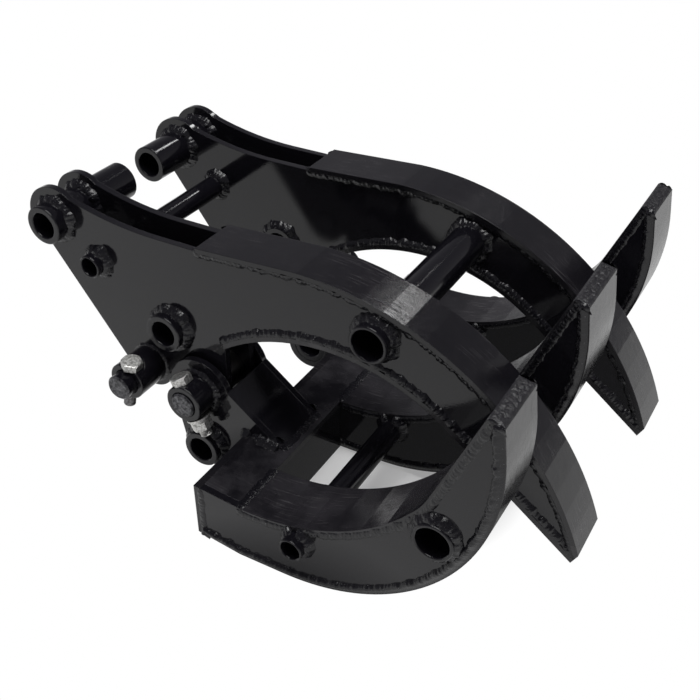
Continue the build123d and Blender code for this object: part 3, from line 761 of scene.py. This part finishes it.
for side, out in SIDES:
    bm = bmesh.new()
    covers = [f"{side}_arm_top_cover", f"{side}_arm_arch_cover"]
    hitch = [f"{side}_link_tube", "small_cross_tube"]
    through = hitch + [f"{side}_dipper_tube", "large_cross_tube"]
    weld_plate(bm, f"{side}_arm_outer_plate", out, covers + through + [f"{side}_corner_boss"])
    weld_plate(bm, f"{side}_arm_outer_plate", -out, hitch)
    weld_plate(bm, f"{side}_arm_inner_plate", out, hitch)
    weld_plate(bm, f"{side}_arm_inner_plate", -out, covers + through)
    ring_bead(bm, f"{side}_arm_outer_plate", CORNER, out, CORNER_SEED, CORNER_RING)
    finish_piece(bm, f"{side}_arm_welds", weld_paint, "upper_jaw", smooth=True)

    bm = bmesh.new()
    root = [f"{side}_stay_tube", "beam_back_plate", "beam_top_plate"]
    weld_plate(bm, f"{side}_ear_outer_plate", out, root)
    weld_plate(bm, f"{side}_ear_outer_plate", -out, root)
    weld_plate(bm, f"{side}_ear_inner_plate", out, root)
    weld_plate(bm, f"{side}_ear_inner_plate", -out, ["beam_back_plate", "beam_top_plate"])
    ring_bead(bm, f"{side}_ear_outer_plate", HINGE, out, HINGE_SEED, HINGE_RING)
    finish_piece(bm, f"{side}_ear_welds", weld_paint, "lower_jaw", smooth=True)

    bm = bmesh.new()
    box_parts = [f"{side}_tine_top_cover", f"{side}_tine_shoe", "tie_tube", f"{side}_tip_tube"]
    weld_plate(bm, f"{side}_tine_outer_plate", out, box_parts + ["beam_back_plate", "beam_top_plate"])
    weld_plate(bm, f"{side}_tine_inner_plate", -out, box_parts)
    finish_piece(bm, f"{side}_tine_welds", weld_paint, "lower_jaw", smooth=True)

bm = bmesh.new()
box_parts = ["middle_tine_top_cover", "middle_tine_shoe", "tie_tube", "middle_tip_tube"]
weld_plate(bm, "middle_tine_near_plate", -1, box_parts)
weld_plate(bm, "middle_tine_far_plate", 1, box_parts)
finish_piece(bm, "middle_tine_welds", weld_paint, "lower_jaw", smooth=True)


# Beam seams: flat beads across every tine where its cover meets the beam's top, and along
# the foot of each ear web. Spatter froze in droplets beside them.
TINES = ("near", "middle", "far")
BEAM_BACK, BEAM_FRONT = (61.0, 75.0), (119.0, 68.5)
SEAM_INSET = 0.001
WEB_SEAM_AHEAD, WEB_SEAM_DROP = 2, 0.2
TINE_SEAM_SEED, WEB_SEAM_SEED = 71, 83
DROPLET = (0.0003, 0.0009)
DROPLETS = 18
SCATTER = 0.011


def seam_with_spatter(bm, start, end, across, out, seed):
    """Lays a flat bead from start to end, and scatters droplets on both sides of it."""
    points = even([start, end], False)
    lay_bead(bm, points, [across] * len(points), out, "flush", False, seed)
    chance = Random(seed)
    for _ in range(DROPLETS):
        spot = start.lerp(end, chance.random()) + across * chance.gauss(0, SCATTER)
        size = chance.uniform(*DROPLET)
        bmesh.ops.create_icosphere(bm, subdivisions=1, radius=size, matrix=Matrix.Translation(spot))


bm = bmesh.new()
back_edge, front_edge = at(BEAM_BACK[0], 0, BEAM_BACK[1]), at(BEAM_FRONT[0], 0, BEAM_FRONT[1])
slope = (front_edge - back_edge).normalized()
lateral = Vector((0, 1, 0))
beam_up = slope.cross(lateral)
for number, name in enumerate(TINES):
    low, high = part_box(f"{name}_tine_top_cover")
    start, end = (front_edge + lateral * y for y in (low.y + SEAM_INSET, high.y - SEAM_INSET))
    seam_with_spatter(bm, start, end, -slope, beam_up, TINE_SEAM_SEED + number)
for number, (side, _) in enumerate(SIDES):
    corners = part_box(f"{side}_ear_outer_plate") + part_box(f"{side}_ear_inner_plate")
    reach = [corner.y * 1000 for corner in corners]
    seam_x, seam_z = EAR_FOOT[0] + WEB_SEAM_AHEAD, EAR_FOOT[1] - WEB_SEAM_DROP
    start, end = (at(seam_x, y, seam_z) for y in (min(reach), max(reach)))
    seam_with_spatter(bm, start, end, slope, beam_up, WEB_SEAM_SEED + number)
finish_piece(bm, "beam_seam_welds", weld_paint, "lower_jaw", smooth=True)


# Tine tips: the end of each box was closed with weld and cut off by torch, which leaves
# a coarse pitted face with bright metal showing through the paint.
TIP_FRONT = (393.4, 285.0)
TIP_BACK = (377.0, 288.5)
TIP_STEP = 0.0008
TIP_LAP = 0.0003
TIP_SUNK = 0.0006
TIP_RISE = 0.0018
TIP_ROUND = 0.004
TIP_PIT = 0.0011
PIT = 0.0042
PIT_MM = 2.0

torch_cut, tree, shader = new_finish("torch_cut_steel_under_enamel", {"IOR": ENAMEL_IOR})
coords = add(tree, "ShaderNodeTexCoord").outputs["Object"]
pits = add(tree, "ShaderNodeTexNoise", {
    "Vector": coords, "Scale": per(PIT_MM), "Detail": 4.0, "Roughness": 0.65,
})
beads = add(tree, "ShaderNodeTexVoronoi", {"Vector": coords, "Scale": per(PIT_MM)}, feature="F1")
bead = add(tree, "ShaderNodeMapRange", {
    "Value": beads.outputs["Distance"], "From Min": 0.08, "From Max": 0.16, "To Min": 1.0, "To Max": 0.0,
})
pick = add(tree, "ShaderNodeMapRange", {"Value": pits.outputs["Fac"], "From Min": 0.54, "From Max": 0.6})
pale_flecks = add(tree, "ShaderNodeMath", {0: bead.outputs[0], 1: pick.outputs[0]}, operation="MULTIPLY")
film = add(tree, "ShaderNodeMix", {
    "Factor": pits.outputs["Fac"], "A": linear(PAINT_BLACK), "B": linear("2b2a2d"),
}, data_type="RGBA")
tone = add(tree, "ShaderNodeMix", {
    "Factor": pale_flecks.outputs[0], "A": film.outputs["Result"], "B": linear("b4b4b2"),
}, data_type="RGBA")
bump = add(tree, "ShaderNodeBump", {"Height": pits.outputs["Fac"], "Strength": 0.6, "Distance": 0.0012})
gloss = add(tree, "ShaderNodeMapRange", {"Value": pits.outputs["Fac"], "To Min": 0.22, "To Max": 0.5})
link(tree, tone.outputs["Result"], shader, "Base Color")
link(tree, gloss.outputs[0], shader, "Roughness")
link(tree, bump.outputs[0], shader, "Normal")

front, back = at(TIP_FRONT[0], 0, TIP_FRONT[1]), at(TIP_BACK[0], 0, TIP_BACK[1])
along = (back - front).normalized()
up = along.cross(lateral)
up = up if up.z > 0 else -up
for name in TINES:
    low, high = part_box(f"{name}_tine_shoe")
    depth, width = (back - front).length, high.y - low.y
    bm = bmesh.new()
    rows, columns = round(depth / TIP_STEP), round(width / TIP_STEP)
    made = bmesh.ops.create_grid(bm, x_segments=rows, y_segments=columns, size=0.5)["verts"]
    for vert in made:
        u, v = vert.co.x + 0.5, vert.co.y + 0.5
        spot = front + along * (u * (depth + 2 * TIP_LAP) - TIP_LAP)
        spot.y = low.y - TIP_LAP + v * (width + 2 * TIP_LAP)
        rim = min(u * depth, (1 - u) * depth, v * width, (1 - v) * width)
        swell = min(1.0, rim / TIP_ROUND)
        pit = noise.fractal(spot / PIT, 0.9, 2.1, 3)
        rise = -TIP_SUNK + (TIP_RISE + TIP_SUNK) * (1 - (1 - swell) ** 2) + TIP_PIT * pit * swell
        vert.co = spot + up * rise
    bm.normal_update()
    if sum(f.normal.dot(up) for f in bm.faces) < 0:
        bmesh.ops.reverse_faces(bm, faces=bm.faces[:])
    finish_piece(bm, f"{name}_tine_cut_end", torch_cut, "lower_jaw", smooth=True)


# Bolts: M14 hexagon set screws, zinc plated, each through its boss and pin. The hinge
# bolts have a flat and a spring washer under the nut. Threads show at the free ends.
ACROSS_FLATS = 0.022
HEAD_HIGH = 0.009
NUT_HIGH = 0.011
CHAMFER_SHARE, CHAMFER_FALL = 0.93, 0.58
HEX_STEPS = 48
THREAD_R = 0.007
THREAD_PITCH = 0.002
THREAD_DEPTH = 0.0009
THREAD_STEPS = 24
BLOOM_MM = 2.4

zinc, tree, shader = new_finish("zinc_plated_steel", {"Metallic": 1.0})
coords = add(tree, "ShaderNodeTexCoord").outputs["Object"]
bloom = add(tree, "ShaderNodeTexNoise", {
    "Vector": coords, "Scale": per(BLOOM_MM), "Detail": 4.0, "Roughness": 0.6,
})
stain = add(tree, "ShaderNodeMapRange", {"Value": bloom.outputs["Fac"], "From Min": 0.35, "From Max": 0.6})
tone = add(tree, "ShaderNodeMix", {
    "Factor": stain.outputs[0], "A": linear("a4a39f"), "B": linear("f0f0ed"),
}, data_type="RGBA")
gloss = add(tree, "ShaderNodeMapRange", {"Value": bloom.outputs["Fac"], "To Min": 0.34, "To Max": 0.6})
bump = add(tree, "ShaderNodeBump", {"Height": bloom.outputs["Fac"], "Strength": 0.2, "Distance": 0.0006})
link(tree, tone.outputs["Result"], shader, "Base Color")
link(tree, gloss.outputs[0], shader, "Roughness")
link(tree, bump.outputs[0], shader, "Normal")
finish_nodes(zinc, "corner_bolts", "hinge_bolts", "hinge_nuts", "hinge_washers")


def spun(bm, outline, steps=HEX_STEPS):
    """Spins an outline of radius and height points into a closed round body."""
    verts = [bm.verts.new((radius, 0, height)) for radius, height in outline]
    edges = [bm.edges.new(pair) for pair in zip(verts, verts[1:])]
    bmesh.ops.spin(
        bm, geom=verts + edges, axis=(0, 0, 1), cent=(0, 0, 0), angle=tau, steps=steps, use_merge=True
    )


def hexagon(bm, base, height, chamfer_top, chamfer_bottom):
    """A hexagon body with flats on a round blank, its corners chamfered to a cone."""
    others = set(bm.verts)
    top = base + height
    blank = [(0.0, base), (CHAMFER_SHARE, base), (1.0, base), (1.0, top), (CHAMFER_SHARE, top), (0.0, top)]
    spun(bm, [(share * ACROSS_FLATS / 2, level) for share, level in blank])
    for vert in set(bm.verts) - others:
        if vert.co.xy.length < 0.99 * ACROSS_FLATS / 2:
            continue
        turn = atan2(vert.co.y, vert.co.x)
        corner = 1 / cos((turn + pi / 6) % (pi / 3) - pi / 6)
        vert.co.x *= corner
        vert.co.y *= corner
        drop = (corner - CHAMFER_SHARE) * ACROSS_FLATS / 2 * CHAMFER_FALL
        if chamfer_top and vert.co.z > base + height / 2:
            vert.co.z -= drop
        elif chamfer_bottom and vert.co.z < base + height / 2:
            vert.co.z += drop


def thread(bm, bottom, top):
    """The threaded end of a bolt: a screw's ridges, drawn as rings."""
    outline = [(0.0, bottom), (THREAD_R - THREAD_DEPTH, bottom)]
    level = bottom + THREAD_PITCH / 2
    while level < top:
        outline += [(THREAD_R, level), (THREAD_R - THREAD_DEPTH, level + THREAD_PITCH / 2)]
        level += THREAD_PITCH
    outline.append((THREAD_R - THREAD_DEPTH, top))
    spun(bm, outline, THREAD_STEPS)


def set_bolts(name, body, centre, y, lean, build):
    """Builds one bolt's part along +Z at the boss's middle and sets it at both sides."""
    bm = bmesh.new()
    for side in (-1, 1):
        start = set(bm.verts)
        build(bm)
        fresh = [v for v in bm.verts if v not in start]
        seat = Matrix.Translation(at(centre[0], side * y, centre[1]))
        bmesh.ops.transform(bm, matrix=seat @ Matrix.Rotation(-radians(lean), 4, "Y"), verts=fresh)
    bmesh.ops.remove_doubles(bm, verts=bm.verts, dist=MERGE)
    bmesh.ops.recalc_face_normals(bm, faces=bm.faces)
    return finish_piece(bm, name, zinc, body)


CORNER_Y, HINGE_Y = 175.0, 168.5
CORNER_LEAN, HINGE_LEAN = -11.5, 23.0
CORNER_SEAT, HINGE_SEAT = 0.018, 0.021
CORNER_TAIL, HINGE_TAIL = 0.0165, 0.009
WASHER_R, WASHER = 0.014, 0.002
SPRING_R, SPRING = 0.0118, 0.003
WASHER_BORE = 0.0072


def corner_bolt(bm):
    """The corner pin's bolt."""
    hexagon(bm, CORNER_SEAT, HEAD_HIGH, True, False)
    thread(bm, -BOSS_R - CORNER_TAIL, CORNER_SEAT)


def hinge_bolt(bm):
    """The hinge pin's bolt."""
    hexagon(bm, HINGE_SEAT, HEAD_HIGH, True, False)
    thread(bm, -BOSS_R - WASHER - SPRING - NUT_HIGH - HINGE_TAIL, HINGE_SEAT)


def hinge_nut(bm):
    """The nut on the hinge bolt."""
    hexagon(bm, -BOSS_R - WASHER - SPRING - NUT_HIGH, NUT_HIGH, True, True)


def hinge_washer(bm):
    """The flat washer against the boss and the spring washer under it."""
    for radius, top, high in ((WASHER_R, -BOSS_R, WASHER), (SPRING_R, -BOSS_R - WASHER, SPRING)):
        corners = [(WASHER_BORE, top - high), (radius, top - high), (radius, top), (WASHER_BORE, top)]
        spun(bm, corners + corners[:1])


for name, body, centre, y, lean, build, node in (
    ("corner_set_screws", "upper_jaw", CORNER, CORNER_Y, CORNER_LEAN, corner_bolt, "corner_bolts"),
    ("hinge_set_screws", "lower_jaw", HINGE, HINGE_Y, HINGE_LEAN, hinge_bolt, "hinge_bolts"),
    ("hinge_hex_nuts", "lower_jaw", HINGE, HINGE_Y, HINGE_LEAN, hinge_nut, "hinge_nuts"),
    ("hinge_flat_and_spring_washers", "lower_jaw", HINGE, HINGE_Y, HINGE_LEAN, hinge_washer, "hinge_washers"),
):
    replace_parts(set_bolts(name, body, centre, y, lean, build), node)
